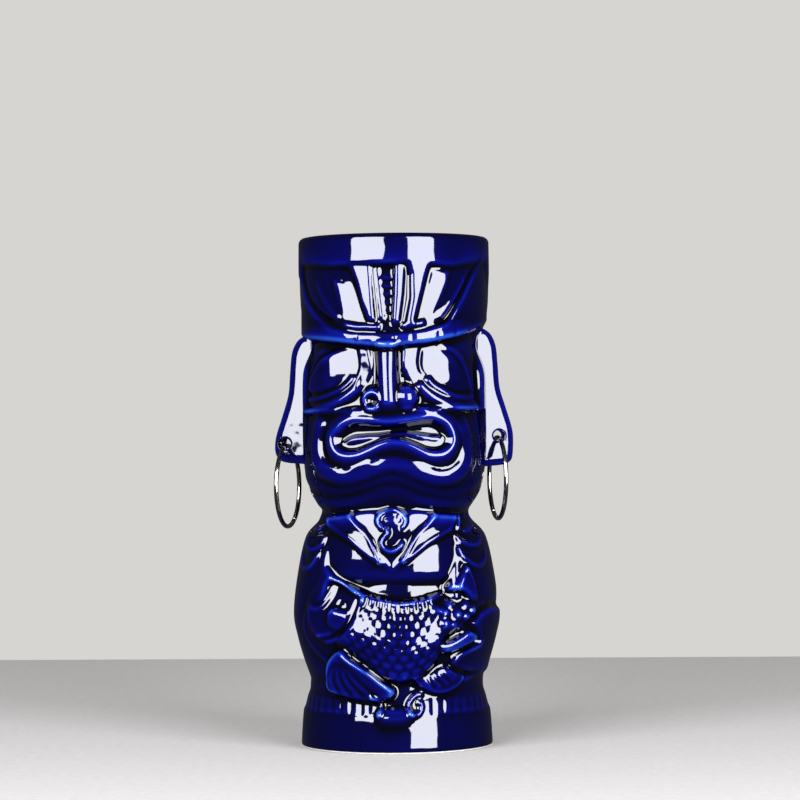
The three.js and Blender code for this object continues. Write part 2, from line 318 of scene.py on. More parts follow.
roll([(12, 126.6), (17.1, 125), (23.3, 124.1), (34.4, 124.3), (44, 125)], 1.9, -1.2)

# Muzzle and chin: below the cheeks the jaw swells forward, then falls away under itself in folds to the neck.
level([(-46, 124), (-46, 108), (-43, 99), (-36, 90), (-24, 86.6), (-12, 87.4), (0, 89.4), (12, 87.2),
       (24, 86.6), (36, 90), (43, 99), (46, 108), (46, 125), (0, 126)],
      [(126, 32.4), (118, 33.0), (110, 33.6), (105, 34.0), (101, 33.3), (97, 32.0), (93, 30.5), (89, 28.9),
       (86, 27.8)],
      3.0, smooth=False)
muzzle = [(-25.4, 123.9), (-28.8, 119.5), (-29.8, 113), (-28.2, 107.3), (-23.8, 103), (-17.5, 101.1),
          (-11.8, 102.3), (-6.1, 104.6), (-0.1, 105.9), (5.7, 104.8), (11.3, 102.2), (16.9, 100.4),
          (22.4, 101.4), (26.8, 105.4), (28.6, 111), (28.2, 117), (24.6, 123.6)]
roll(muzzle, 6.6, 1.7, 0.05, power=0.5)
lips = [(-19.4, 118.6), (-17.2, 120.6), (-13.4, 122.0), (-7.1, 121.7), (-0.9, 121.3), (5.1, 121.9),
        (9, 122.5), (14, 123.0), (17.4, 122.2), (20.4, 120.2), (22.0, 117), (22.2, 114), (21.0, 111.4),
        (18.4, 109.6), (15.2, 109.1), (11.8, 109.8), (8.6, 111.5), (5.2, 113.0), (1.6, 113.7),
        (-1.2, 113.5), (-4.4, 112.6), (-7.8, 110.9), (-11.4, 109.3), (-15, 108.8), (-18.2, 109.6),
        (-20.5, 111.6), (-21.5, 114.6), (-21.0, 117)]
contour(lips, [(-5.2, 0), (-4.3, 0.3), (-2.8, 1.3), (-1.3, 2.1), (-0.4, 2.5), (0.1, 2.5), (0.7, 2.1),
               (1.6, 0.9), (2.6, -0.5), (3.6, -1.2), (9, -1.4)])
level([(-18.4, 113.0), (-16.4, 115), (-11.8, 115.8), (-6, 116.2), (0.3, 117.2), (5.1, 117.1), (10.7, 116.4),
       (15, 115.8), (20.0, 115.4), (19.4, 112.8), (15, 111.6), (10.7, 112.7), (5, 114.8), (0, 115.8),
       (-5, 114.8), (-10, 112.8), (-14, 111.5)], 33.2, 0.9)
roll([(-17.5, 114.4), (-11.8, 115.1), (-6, 115.6), (-1, 116.6), (5.1, 116.7), (10.7, 115.8), (15, 115.2),
      (19.6, 114.8)], 1.3, 0.6)
waves = [
    ([(-46, 104.6), (-42, 100.2), (-32.8, 97.8), (-23.5, 95.9), (-16.3, 96.4), (-10.1, 98.4), (-4.3, 100.4),
      (0.1, 101.1), (4.9, 100.2), (10.5, 97.5), (17.3, 95.3), (25.8, 94.9), (34.9, 97.6), (46, 103)], 4.4,
     0.45),
    ([(-44, 97.4), (-32.8, 93.0), (-24.4, 90.9), (-16.7, 91.2), (-9.8, 93.2), (-4.4, 94.8), (0, 95.3),
      (4.8, 94.4), (10.4, 92.3), (17.3, 90.6), (25.1, 90.5), (33.1, 92.5), (44, 97)], 4.4, 0.45),
]
for line, width, lift in waves:
    roll(line, width, lift, 0.1)
for line in ([(-37, 123.6), (-37.8, 113.7), (-40.6, 105.4)], [(-44.6, 123.4), (-45, 113.6), (-45.6, 106)],
             [(35.9, 124.1), (37.4, 117.4), (37.8, 110), (36.7, 102)],
             [(43.6, 123.6), (44.4, 114), (44.4, 105)]):
    roll(line, 2.4, 0.5)

# Nose: a broad bridge that widens to its tip, with a fine ridge beside it and a round nostril on each side.
# The left nostril is hollowed.
roll([(-6.6, 146), (-6.6, 139), (-7.3, 135.4), (-9.4, 133.6), (-12.2, 131.0)], 1.2, 0.5)
roll([(4.2, 146), (4.4, 139), (4.0, 136), (3.2, 133.6)], 1.2, 0.5)
without_nose = carved.copy()
roll([(-1.3, 152), (-1.3, 142), (-1.1, 134), (-0.6, 124.0)], (8.4, 9.6), (2.8, 5.2), 0.14)
nose = carved.copy()
for place in ((-6.3, 129.3), (5.4, 130.0)):
    carved[...] = without_nose
    dome(place, (5.0, 4.9), 4.3, power=0.6)
    nose = np.maximum(nose, carved)
carved[...] = nose
dome((-6.9, 128.9), (2.5, 2.6), -3.0, power=0.8)

# Chest and belly: the belly swells between the arms and tucks in above the fish. A folded collar crosses the
# chest in a V, with a hook pendant in the middle.
level([(-25, 86.0), (-16, 87.2), (-8, 88.8), (0, 89.8), (8, 88.8), (16, 87.2), (25, 86.4), (25.4, 70),
       (22, 58.6), (12, 55.6), (2, 54.6), (-8, 56.6), (-16, 60.4), (-23, 64), (-27, 68.6), (-26.4, 74)],
      [(90, 29.0), (88, 30.1), (85, 31.3), (82, 32.3), (78, 33.1), (74, 33.6), (70, 33.9), (66, 33.9),
       (64.4, 33.5), (63, 32.6), (61.8, 31.9), (60.4, 31.8), (58.5, 32.3), (56.6, 32.9), (55, 33.6)], 1.6,
      smooth=False)
pad([(-24.4, 88), (-24.2, 83.2), (-15.5, 77.9), (-7.5, 71.4), (0, 66.8), (7.3, 71.8), (13.3, 76.6),
     (21.5, 81), (23, 88), (14.4, 87.6), (7.3, 77), (0, 67.6), (-8, 78), (-15, 88)], 0.7, 1.0, smooth=False)
roll([(-24.3, 84.2), (-20.3, 80.9), (-15.5, 77.9), (-11.3, 74.5), (-7.5, 71.4), (-3.4, 68.6)], 1.7, 1.0,
     0.05)
roll([(-15.2, 88.4), (-12.5, 84.2), (-9.9, 81.1), (-8.0, 78.0), (-6.7, 74.6), (-5.4, 71.4), (-3.6, 68.9)],
     1.4, 1.0, 0.05)
roll([(22.6, 82.2), (17.1, 79.1), (13.3, 76.8), (10.4, 74.5), (7.3, 72.0), (3.4, 69.0)], 1.7, 1.0, 0.05)
roll([(14.6, 88.2), (11.7, 83.5), (9.1, 80.2), (7.3, 77.0), (5.4, 72.7), (3.2, 69.4)], 1.6, 1.1, 0.05)
roll([(-3.0, 81.6), (-4.6, 84.3), (-4.2, 86.8), (-2.2, 88.6), (0.6, 89.0), (3.0, 88.0), (4.3, 85.9),
      (4.2, 83.6), (3.0, 81.9)],
     1.5, 1.7, 0.03)
dome((2.6, 86.0), (1.6, 2.4), 0.9)
roll([(-2.6, 82.8), (-1.3, 80.6), (-3.0, 78.9), (-3.9, 77.1), (-3.2, 75.1), (-0.6, 73.9), (2.2, 74.7),
      (4.4, 77.5)],
     1.9, 1.8, 0.04)

# Arms: raised at each side, with three scalloped folds on each shoulder.
pad([(-25.4, 90), (-25.2, 79.1), (-28.2, 72.6), (-28.9, 66.7), (-31.9, 60.8), (-35.8, 57.3), (-38.2, 52.4),
     (-39.2, 45.4), (-37.8, 41.7), (-33.9, 38.4), (-30, 35.5), (-26.3, 33.2), (-25.1, 31.2), (-25.8, 28.9),
     (-27.5, 26), (-34, 24.6), (-52, 25), (-70, 34), (-72, 60), (-64, 88)], -0.4, 1.4, 1.1, 9.0,
    smooth=False)
roll([(-38.2, 52.4), (-39.2, 45.4), (-37.8, 41.7), (-33.9, 38.4), (-30, 35.5), (-26.6, 33.0), (-25.6, 30.6),
      (-26.4, 27)],
     1.8, 0.8, 0.1)
pad([(22.0, 90), (23.1, 79.2), (24.8, 74.3), (25.5, 69.4), (26.4, 66), (33, 60), (36, 55.5), (43, 53.2),
     (60, 52), (71, 60), (62, 88)], -0.4, 1.4, 1.1, 9.0, smooth=False)
pad([(31.2, 47.6), (36, 51.0), (43, 52.6), (60, 51.4), (70, 46), (66, 30), (48, 27.6), (34, 28.6),
     (24.4, 30), (21.6, 32), (23.7, 34.5), (28.9, 37), (36, 40)], 1.2, 1.5, smooth=False)
for side, folds in ((-1, [[(37.4, 88.6), (37.2, 84.4), (35.2, 82.4), (31.6, 81.6), (28.4, 82.9),
                           (26.2, 85.6)],
                          [(40.6, 79.8), (38.6, 75.4), (35.1, 74.2), (30.8, 74.8), (28.4, 76.8),
                           (26.4, 81.0)],
                          [(44.4, 74.5), (42, 68.9), (38.2, 67.1), (34.5, 67.8), (31.8, 70.3),
                           (29.4, 74.6)]]),
                    (1, [[(23.7, 85.4), (24.7, 82.2), (27.4, 80.8), (30.8, 81.0), (34.2, 82.4), (38.6, 87)],
                         [(23.8, 80), (26.3, 77.4), (29.8, 76.0), (34.0, 75.6), (37.9, 76.9), (40.6, 81)],
                         [(24.8, 76.8), (26.7, 72.8), (29.4, 70.2), (33.1, 68.2), (37.3, 68.2),
                          (40.8, 70.4), (43, 74.6)]])):
    for fold in folds:
        roll([(side * a, z) for a, z in fold], 1.7, 1.2, 0.12)
dome((-32.8, 85.9), (1.4, 1.2), 0.7)
dome((30.9, 85.5), (1.8, 1.2), 0.7)

# Fish: held across the belly, head to the left, with overlapping scales and a row of beads for its back fin.
fish = [(-13.5, 58.2), (-8.7, 57.4), (-3.7, 56.0), (2.2, 54.9), (8, 55.1), (14.1, 56.4), (18.1, 57.6),
        (22, 59.4), (27, 58.8), (31.4, 54.8), (31.6, 50.4), (28.6, 46.3), (23.1, 42.8), (18.8, 39.2),
        (16.7, 34.8), (13.1, 30.6), (8.4, 28), (3.2, 26.5), (-1.9, 27.1), (-7.1, 29.4), (-12.5, 32.6),
        (-17.4, 36.2), (-21.7, 39), (-21, 43.6), (-15, 50)]
back_line = curve_through([(-22, 51.5), (-15.3, 53.4), (-8.2, 52.2), (0.5, 50.8), (8, 50.9), (14, 52.1),
                           (20, 54.0), (30, 56)], 10)
belly_line = curve_through([(-22, 40.4), (-14, 34.4), (-7.1, 29.9), (-1.9, 27.8), (3.2, 27.2), (8.4, 28.7),
                            (13.1, 31.4), (16.7, 35.6), (18.8, 40.0), (24, 43.4), (30, 47)], 10)
# Share runs from 0 at the fish's back to 1 at its belly, and its body is fullest half-way down.
top = np.interp(around, back_line[:, 0], back_line[:, 1])
bottom = np.interp(around, belly_line[:, 0], belly_line[:, 1])
share = (top - height) / np.maximum(top - bottom, 1.0)
GIRTH = [(-0.35, 32.4), (-0.27, 33.2), (0.08, 36.6), (0.24, 37.8), (0.4, 38.45), (0.6, 38.5), (0.8, 37.6),
         (1.0, 35.7), (1.06, 34.9)]
FISH_EDGE = 1.6
pick, deep = depth_inside(fish, True, FISH_EDGE)
bring(pick, deep, FISH_EDGE, np.interp(share[pick], *np.array(GIRTH).T) * square[pick])
facet([(-24.7, 62.8), (-18.7, 61.3), (-14.5, 58.8), (-11.0, 57.0), (-12.5, 52.6), (-14.9, 47.8),
       (-18.2, 43.4), (-22.1, 41.0), (-27.8, 41.3), (-32.8, 45.0), (-35, 50), (-34.4, 54), (-31, 54.8),
       (-28.4, 56), (-26.6, 59.4)],
      -28, [(63, 33.2), (60, 34.2), (57, 35.2), (54.5, 36.0), (52, 36.8), (49, 37.5), (46, 37.8),
            (43, 37.8), (40, 37.4)],
      39.4, 1.4)
facet([(-24.6, 52.2), (-19.4, 52.0), (-16.4, 48.4), (-18.2, 45.6), (-24.4, 47.0)], -17, 37.5, 39.4, 1.6)
roll([(-24.4, 62.4), (-25.0, 59.2), (-26.4, 56.4), (-28.6, 53.8), (-31.4, 52.6), (-33.8, 53.4)], 1.8, 0.9,
     0.08)
roll([(-34.0, 53.4), (-34.6, 50.4), (-34.0, 47.0)], 1.6, 0.6)
dome((-20.0, 54.0), (2.3, 2.3), -0.8, power=0.5)
dome((-20.0, 54.0), (1.4, 1.4), 1.2, power=0.7)
roll([(-13.0, 57.6), (-14.8, 52.2), (-16.8, 48.4), (-20.0, 44.6), (-25, 42.1), (-30.5, 41.6)], 1.3, -0.9)
for points in ([(-30, 42.8), (-26.5, 43.2), (-23.2, 44.0)], [(-27, 40.4), (-23, 41.0), (-20, 42.4)]):
    roll(points, 1.6, 0.6)

# Scales: rows of overlapping rounded plates, each row set half a scale along from the last.
SCALE_WIDTH = 4.0
SCALE_ROWS = 8
SCALE_RISE = 0.42
down = share * SCALE_ROWS
gill_line = np.interp(height, [28, 37, 43, 48, 53, 58], [-22, -21, -16.6, -14.0, -12.4, -10.8])
on_fish = (down > 0) & (down < SCALE_ROWS) & (around > gill_line) & (around < 18.5 + 0.25 * (height - 40))
row = np.floor(down)


def from_scale(line):
    """How far a point lies from the middle of the nearest scale in a row, 1 at the scale's edge."""
    along = around / SCALE_WIDTH + 0.5 * (line % 2)
    return np.hypot((along - np.floor(along) - 0.5) / 0.52, (down - line - 0.2) / 0.85)


upper, lower = from_scale(row), from_scale(row + 1)
under = np.clip((upper - 1) / 0.3, 0, 1) * (1 - np.clip(lower, 0, 1) ** 4)
plate = np.where(upper < 1, 1 - np.clip(upper, 0, 1) ** 4, under)
carved += np.where(on_fish, SCALE_RISE * (plate - 0.7), 0)

bead_line = curve_through([(-11.4, 56.4), (-5.2, 55.0), (1.4, 53.8), (8.3, 53.8), (15, 55.6)], 12)
BEADS = 9
for i in range(BEADS):
    place = bead_line[round(i * (len(bead_line) - 1) / (BEADS - 1))]
    dome(place, (1.6, 2.3), 1.0, lean=2.0 * (i - 4), power=0.8)
roll([(-20, 61.4), (-14.6, 59.4), (-11, 58.0)], 1.4, 0.6)

# The fish's tail fans up against the arm in a point and a cluster of small lobes.
pad([(22.6, 57.6), (24.3, 60.4), (26.3, 64.4), (28.6, 68.2), (30.8, 65.2), (33.2, 60.5), (34, 56),
     (29, 55.4)], 1.2, 1.2, 0.6, 3.0)
roll([(24.2, 59), (26.4, 64), (28.5, 67.4), (30.6, 64.4), (32.8, 60)], 1.5, 0.8, 0.05)
for place in ((25.2, 57.4), (22.1, 54.6), (28.3, 54.3), (31.4, 52.0), (19.4, 51.6), (24.4, 50.6),
              (28.2, 49.4), (22.6, 46.6), (26.0, 45.8), (19.3, 47.2), (16.6, 52.4)):
    dome(place, (1.9, 1.9), 1.2, power=0.5)

# Fins and hands: a broad ribbed fin under the head, a small rayed one under the belly, and the right hand.
fin = [(-18.8, 38.0), (-14.6, 34.8), (-11.7, 32.8), (-7.9, 30.1), (-4.2, 27.0), (-0.2, 23.8), (0.3, 21.9),
       (-2, 20), (-6.8, 19.6), (-13.3, 19.9), (-19.1, 20.8), (-24.4, 22.6), (-24.2, 28.5), (-23, 34.1)]
level(fin, [(38, 38.6), (34, 38.7), (30, 38.2), (26, 37.2), (22, 35.9), (19, 34.8)], 1.3)
roll([(-18.4, 36.9), (-14.7, 34.0), (-11.7, 32.2), (-7.9, 29.6), (-4.2, 26.5), (-1.1, 23.8)], 1.8, 0.7,
     0.06)
for foot, bow in (((-22.9, 22.6), -1.4), ((-18.6, 21.2), -1.0), ((-14.0, 20.6), -0.6), ((-9.4, 20.4), -0.2),
                  ((-4.8, 20.6), 0.4)):
    start = np.array([-18.6, 36.0]) + (np.array(foot) - (-18.6, 36.0)) * 0.14
    middle = (start + foot) / 2 + (bow - 0.6, -0.6)
    roll([tuple(start), tuple(middle), foot], (1.3, 2.0), (-0.5, -0.9), 0.1)
ray_fin = [(7.0, 27.6), (9.5, 24.5), (12.8, 22.6), (16.6, 21.5), (20.5, 21.9), (24.4, 23.7), (27, 25.9),
           (27.5, 28.2), (22.3, 30.4), (18.4, 31.4), (13.6, 29.4)]
pad(ray_fin, 1.7, 1.1, 0.4, 4.0)
roll([(7.8, 26.6), (10.2, 24.5), (13, 23), (16.6, 22.1), (20.4, 22.5), (24, 24.2), (26.4, 26.2),
      (26.9, 28)], 1.3, 0.6, 0.08)
for start, end in (((19.4, 30.4), (23.6, 27.3)), ((17.6, 29.9), (22.4, 25.9)), ((15.4, 29.0), (20.2, 24.6)),
                   ((13.0, 28.1), (17.2, 23.6)), ((10.4, 27.2), (13.6, 23.9))):
    roll([start, end], 1.4, 0.9, 0.15)
pad([(18.4, 40.4), (22.2, 41.6), (25.4, 43), (29, 44.6), (32.6, 43), (32.6, 40.6), (27.2, 38.6),
     (22.4, 36.8), (18.6, 36.4), (17, 38)], 1.9, 1.2, 1.0, 2.4)
roll([(18.4, 36.2), (22.4, 36.4), (27.6, 38.2), (33.6, 40.4), (34.6, 43)], 1.2, -1.3, 0.1)
roll([(21.8, 32.4), (23.9, 34.6), (26.4, 35.9), (29.2, 36.8), (34.8, 38.4), (37.6, 41.0)], 1.7, 0.9, 0.08)
roll([(31.2, 47.4), (36, 51.6), (44, 53.2), (56, 52.4)], 1.8, -1.2)
roll([(28, 25.6), (31.5, 26.7), (36.1, 27.7), (44, 27.8)], 1.9, 1.0)
roll([(22, 30.6), (26, 29.0), (34, 28.2), (46, 28)], 1.5, -0.9)

# Ankles: a fringe of upright ribs all round, parted at the front by two curls and a plain tongue.
FRINGE_PITCH = 4.0
FRINGE_RIBS = 24
FRINGE_REACH = 103
pad([(-118, 21), (-46, 20.6), (-8, 19.9), (-4.6, 19), (-4.6, 14), (-60, 13.2), (-118, 13.2)], 0.3, 0.9,
    smooth=False)
pad([(118, 21), (46, 21.2), (9, 21), (5, 18.6), (5.4, 14), (60, 13.2), (118, 13.2)], 0.3, 0.9, smooth=False)
for side, first in ((-1, 9.8), (1, 12.6)):
    for i in range(FRINGE_RIBS):
        place = side * (first + FRINGE_PITCH * i)
        if abs(place) < FRINGE_REACH:
            roll([(place, 20.0), (place, 14.0)], 3.7, 0.7 - 0.006 * min(abs(place), 60), 0.16, power=0.5)
roll([(-8.4, 20.0), (-6.3, 19.9), (-4.7, 18.7), (-4.1, 17.0), (-4.7, 15.0), (-6.2, 13.4)], 2.2, 1.5, 0.06)
roll([(11.4, 21.8), (8.2, 21.4), (6.0, 19.4), (5.3, 17), (6.6, 14.6), (8.8, 14.4), (10.2, 16.2),
      (10.0, 18.6), (8.5, 18.6)],
     1.8, 1.5, 0.05)
pad([(-5.6, 16.0), (0.6, 16.8), (6.4, 16.2), (7.6, 13.0), (1.0, 11.6), (-5.2, 12.3)], 0.9, 1.4, 0.6, 2.4)

# Back of the head and shoulders: combed hair over the nape, and a plain back below it.
HAIR_LOCKS = 30
HAIR_DEPTH = 1.1
HAIR_FROM = 1.72
HAIR_LOW = 89.0
HAIR_HIGH = 149.0
comb = 0.5 + 0.5 * np.cos(turn[None, :] * HAIR_LOCKS)
beyond_ears = ease((np.abs(turn)[None, :] - HAIR_FROM) / 0.12)
fade = beyond_ears * ease((height - HAIR_LOW) / 5) * ease((HAIR_HIGH - height) / 4)
carved += fade * (HAIR_DEPTH * comb**0.8 - 0.3)

# A thick glaze rounds every edge and fills every corner a little. The collar and the foot's band are plain.
for _ in range(2):
    carved = 0.25 * np.roll(carved, 1, 1) + 0.5 * carved + 0.25 * np.roll(carved, -1, 1)
    carved[1:-1] = 0.25 * carved[:-2] + 0.5 * carved[1:-1] + 0.25 * carved[2:]
COLLAR_LOW = 180.5
FOOT_BAND_HIGH = 11.0
blend = ease((rise - COLLAR_LOW) / 4)[:, None] + ease((FOOT_BAND_HIGH - rise) / 4)[:, None]
carved = carved * (1 - blend) + base * blend


def blurred(field, passes):
    """A field over the sheet, averaged with its neighbours a number of times."""
    for _ in range(passes):
        field = (np.roll(field, 1, 1) + field + np.roll(field, -1, 1)) / 3
        field = np.vstack([field[:1], (field[:-2] + field[1:-1] + field[2:]) / 3, field[-1:]])
    return field


# How far the surface stands above its surroundings. It sets the glaze's tone: lighter on what stands proud,
# and darker in what is deep. This is partly the glaze running off edges and pooling in hollows, and partly
# painted shade in grooves and recesses and painted highlight along edges and crests.
relief = carved - base
proud = 0.5 + 0.5 * (relief - blurred(relief, 6)) + 0.06 * (relief - blurred(relief, 50))
# Fish scales: lighter at each plate's middle and darker at its rim; partly glaze tone, partly painted shade
# and painted highlight on each plate.
proud = np.clip(proud + 0.16 * np.where(on_fish, plate - 0.6, 0), 0, 1)

# The closed shell: the foot's underside, the carved sheet, then over the lip and down the inside.
PLAIN_GLAZE = 0.45
FLOOR_RADIUS = 14.0
foot_edge = FOOT_RADIUS - FOOT_CORNER
foot_inner = foot_edge - FOOT_RING_WIDTH
plain = [
    (foot_inner - 14, FOOT_HOLLOW), (foot_inner - 3, FOOT_HOLLOW), (foot_inner - 1.2, FOOT_HOLLOW * 0.8),
    (foot_inner - 0.2, 0.3), (foot_inner + 0.4, 0.0), (foot_edge - 0.6, 0.0),
]
plain += [(foot_edge + FOOT_CORNER * math.sin(a), FOOT_CORNER * (1 - math.cos(a)))
          for a in np.radians([12, 28, 44, 60, 75])]
wall_line = curve_through(INNER_STAGES, 2)
lip_middle = COLLAR_RADIUS - LIP_RADIUS
lip = [(lip_middle + LIP_RADIUS * math.cos(a), LIP_Z + LIP_RADIUS * math.sin(a))
       for a in np.radians([20, 42, 66, 90, 114, 138, 160])]
inside = lip + [tuple(p) for p in wall_line] + [(FLOOR_RADIUS, FLOOR_TOP)]

ring_r = [np.full(COLUMNS, r) for r, _ in plain] + list(carved) + [np.full(COLUMNS, r) for r, _ in inside]
ring_z = [np.full(COLUMNS, z) for _, z in plain] + list(height) + [np.full(COLUMNS, z) for _, z in inside]
even = np.full(COLUMNS, PLAIN_GLAZE)
ring_p = [even] * len(plain) + list(proud) + [even] * len(inside)
r, z, shine = np.concatenate(ring_r), np.concatenate(ring_z), np.concatenate(ring_p)
a = np.tile(turn, len(ring_r))
points = np.stack([r * np.sin(a), -r * np.cos(a), z], 1)
points = np.vstack([points, [(0, 0, FOOT_HOLLOW), (0, 0, FLOOR_TOP)]])
shine = np.append(shine, [PLAIN_GLAZE, PLAIN_GLAZE])


def shell_faces(ring_count, columns, first_pole, last_pole):
    """Quads between the rings, and a fan to a pole at each end."""
    i = np.arange(ring_count - 1)[:, None] * columns
    j = np.arange(columns)[None, :]
    k = (j + 1) % columns
    quads = np.stack([i + j, i + k, i + k + columns, i + j + columns], -1).reshape(-1, 4).tolist()
    last = (ring_count - 1) * columns
    fans = [[first_pole, int(b), int(c)] for b, c in zip(k[0], j[0])]
    fans += [[last_pole, int(last + b), int(last + c)] for b, c in zip(j[0], k[0])]
    return quads + fans


def mesh_piece(name, points, faces):
    """Makes a smooth-shaded object from points in millimetres."""
    mesh = bpy.data.meshes.new(name)
    mesh.from_pydata((np.asarray(points) * MM).tolist(), [], faces)
    mesh.validate()
    piece = bpy.data.objects.new(name, mesh)
    bpy.context.scene.collection.objects.link(piece)
    mesh.polygons.foreach_set("use_smooth", [True] * len(mesh.polygons))
    return piece


mug = mesh_piece("mug", points, shell_faces(len(ring_r), COLUMNS, len(points) - 2, len(points) - 1))
# This attribute carries the relief tone to the glaze: glaze pooling and running off edges, together with
# painted shade in recesses and painted highlight on edges.
glaze_and_shade_attribute = mug.data.attributes.new("glaze_and_painted_shade", "FLOAT", "POINT")
glaze_and_shade_attribute.data.foreach_set("value", shine.astype(np.float32))


def linear(code):
    """An sRGB hex colour as linear RGBA."""
    parts = [int(code[i:i + 2], 16) / 255 for i in (1, 3, 5)]
    return [c / 12.92 if c <= 0.04045 else ((c + 0.055) / 1.055) ** 2.4 for c in parts] + [1.0]


def node(material, kind, settings=None, inputs=None):
    """Adds a shader node, sets its properties, and sets or links its inputs."""
    made = material.node_tree.nodes.new(kind)
    for key, value in (settings or {}).items():
        setattr(made, key, value)
    for key, value in (inputs or {}).items():
        if isinstance(value, bpy.types.NodeSocket):
            material.node_tree.links.new(value, made.inputs[key])
        else:
            made.inputs[key].default_value = value
    return made


def new_material(name):
    """An empty node material."""
    material = bpy.data.materials.new(name)
    material.use_nodes = True
    material.node_tree.nodes.clear()
    return material


def ramp(material, value, stops):
    """A colour ramp over a value, from (position, hex colour) stops."""
    made = node(material, "ShaderNodeValToRGB", inputs={"Fac": value})
    elements = made.color_ramp.elements
    while len(elements) < len(stops):
        elements.new(0.5)
    for element, (position, code) in zip(elements, stops):
        element.position = position
        element.color = linear(code)
    return made.outputs["Color"]


# Cobalt glaze: a thick transparent blue glass over stoneware, with the faint ripple of a dipped and fired
# glaze.
# Its colour follows the relief tone: nearly black in grooves and recesses and bright blue over edges, partly
# from the glaze pooling and running off edges, and partly painted shade and painted highlight.
DRIFT_SCALE = 55.0
RIPPLE_SCALE = 160.0
cobalt = new_material("fired_cobalt_glaze")
place = node(cobalt, "ShaderNodeTexCoord").outputs["Object"]
drift = node(cobalt, "ShaderNodeTexNoise", inputs={"Vector": place, "Scale": DRIFT_SCALE,
                                                   "Detail": 2.0}).outputs["Fac"]
glaze_and_shade = node(cobalt, "ShaderNodeAttribute", {"attribute_name": "glaze_and_painted_shade"}).outputs["Fac"]
mottled_glaze_and_shade = node(cobalt, "ShaderNodeMath", {"operation": "MULTIPLY_ADD"},
              {0: drift, 1: 0.12, 2: glaze_and_shade}).outputs[0]
glaze_and_shade_level = node(cobalt, "ShaderNodeMath", {"operation": "SUBTRACT"}, {0: mottled_glaze_and_shade, 1: 0.06}).outputs[0]
# Tone ramp: nearly black for painted shade in recesses, with pooled glaze, up to bright blue for painted
# highlight on edges and crests, with glaze run off.
tone = ramp(cobalt, glaze_and_shade_level,
            [(0.0, "#010102"), (0.36, "#01010D"), (0.5, "#020238"), (0.6, "#030456"), (0.74, "#07147C"),
             (0.95, "#2A55B8")])
ripple = node(cobalt, "ShaderNodeTexNoise", inputs={"Vector": place, "Scale": RIPPLE_SCALE,
                                                    "Detail": 1.0}).outputs["Fac"]
bump = node(cobalt, "ShaderNodeBump", inputs={"Height": ripple, "Strength": 0.12, "Distance": 0.0012})
rippled = bump.outputs["Normal"]
glass = node(cobalt, "ShaderNodeBsdfPrincipled", inputs={
    "Base Color": linear("#E8E4DC"), "Roughness": 0.6, "Specular IOR Level": 0.0, "Normal": rippled,
    "Coat Weight": 1.0, "Coat Roughness": 0.045, "Coat IOR": 1.7, "Coat Tint": tone,
    "Coat Normal": rippled})
node(cobalt, "ShaderNodeOutputMaterial", inputs={"Surface": glass.outputs["BSDF"]})

# Bare stoneware: the foot ring, wiped clean of glaze. Buff-grey, dry and slightly gritty.
stoneware = new_material("bare_stoneware")
place = node(stoneware, "ShaderNodeTexCoord").outputs["Object"]
grit = node(stoneware, "ShaderNodeTexNoise", inputs={"Vector": place, "Scale": 900.0,
                                                     "Detail": 3.0}).outputs["Fac"]
clay = ramp(stoneware, grit, [(0.35, "#CFCBC2"), (0.6, "#ECE9E2")])
grain = node(stoneware, "ShaderNodeBump", inputs={"Height": grit, "Strength": 0.3, "Distance": 0.0002})
biscuit = node(stoneware, "ShaderNodeBsdfPrincipled", inputs={
    "Base Color": clay, "Roughness": 0.8, "Normal": grain.outputs["Normal"]})
node(stoneware, "ShaderNodeOutputMaterial", inputs={"Surface": biscuit.outputs["BSDF"]})

GLAZE_LINE = 0.9
mug.data.materials.append(cobalt)
mug.data.materials.append(stoneware)
centres = np.zeros(len(mug.data.polygons) * 3)
mug.data.polygons.foreach_get("center", centres)
x, y, z = centres.reshape(-1, 3).T
bare = (z < GLAZE_LINE * MM) & (np.hypot(x, y) > (foot_inner - 2) * MM)
mug.data.polygons.foreach_set("material_index", bare.astype(np.int32))
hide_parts("mug_body")
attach(mug, "mug")

# ---- Ears -----------------------------------------------------------------------------------------------
# Each ear is a slab of the same clay, cut out, pierced, rounded with a wet sponge and luted to the side of
# the head with slip. The two were set by hand, the right one higher than the left.

CHEEK_Z = 109.0
EAR_ROOT = 33.5
EAR_SWEEP = 16.5
EAR_LEAN = math.radians(2.0)
EAR_THICK = 5.0
HOLE_RADIUS = 2.0
EARS = {
    "left": {"side": -1, "stem": 6.3, "lobe": 12.2, "inset": 4.8, "hole": 4.0, "top": 45.6, "drop": 3.2},
    "right": {"side": 1, "stem": 5.6, "lobe": 11.1, "inset": 6.0, "hole": 6.6, "top": 47.6, "drop": 4.5},
}
RIM_POINTS = 168
RIM_ROUND = (3.2, 2.1)
HOLE_ROUND = (0.9, 0.8)
HOLE_POINTS = 48
# Glaze tone on the ear: an even level on its flat faces, lighter along its rounded rim, partly glaze running
# off the edge and partly a painted highlight.
FLAT_GLAZE = 0.46
EDGE_GLAZE_AND_HIGHLIGHT = 0.24
ROUNDEST = 0.62


def in_ear_frame(points, side):
    """Places drawn points (out, back, up) at the side of the head, where the ear's plane is swept back."""
    p = np.asarray(points, float)
    sweep = math.radians(EAR_SWEEP) * side
    x, y = side * p[:, 0], p[:, 1]
    return np.stack([side * EAR_ROOT + x * math.cos(sweep) - y * math.sin(sweep),
                     x * math.sin(sweep) + y * math.cos(sweep), p[:, 2]], 1)


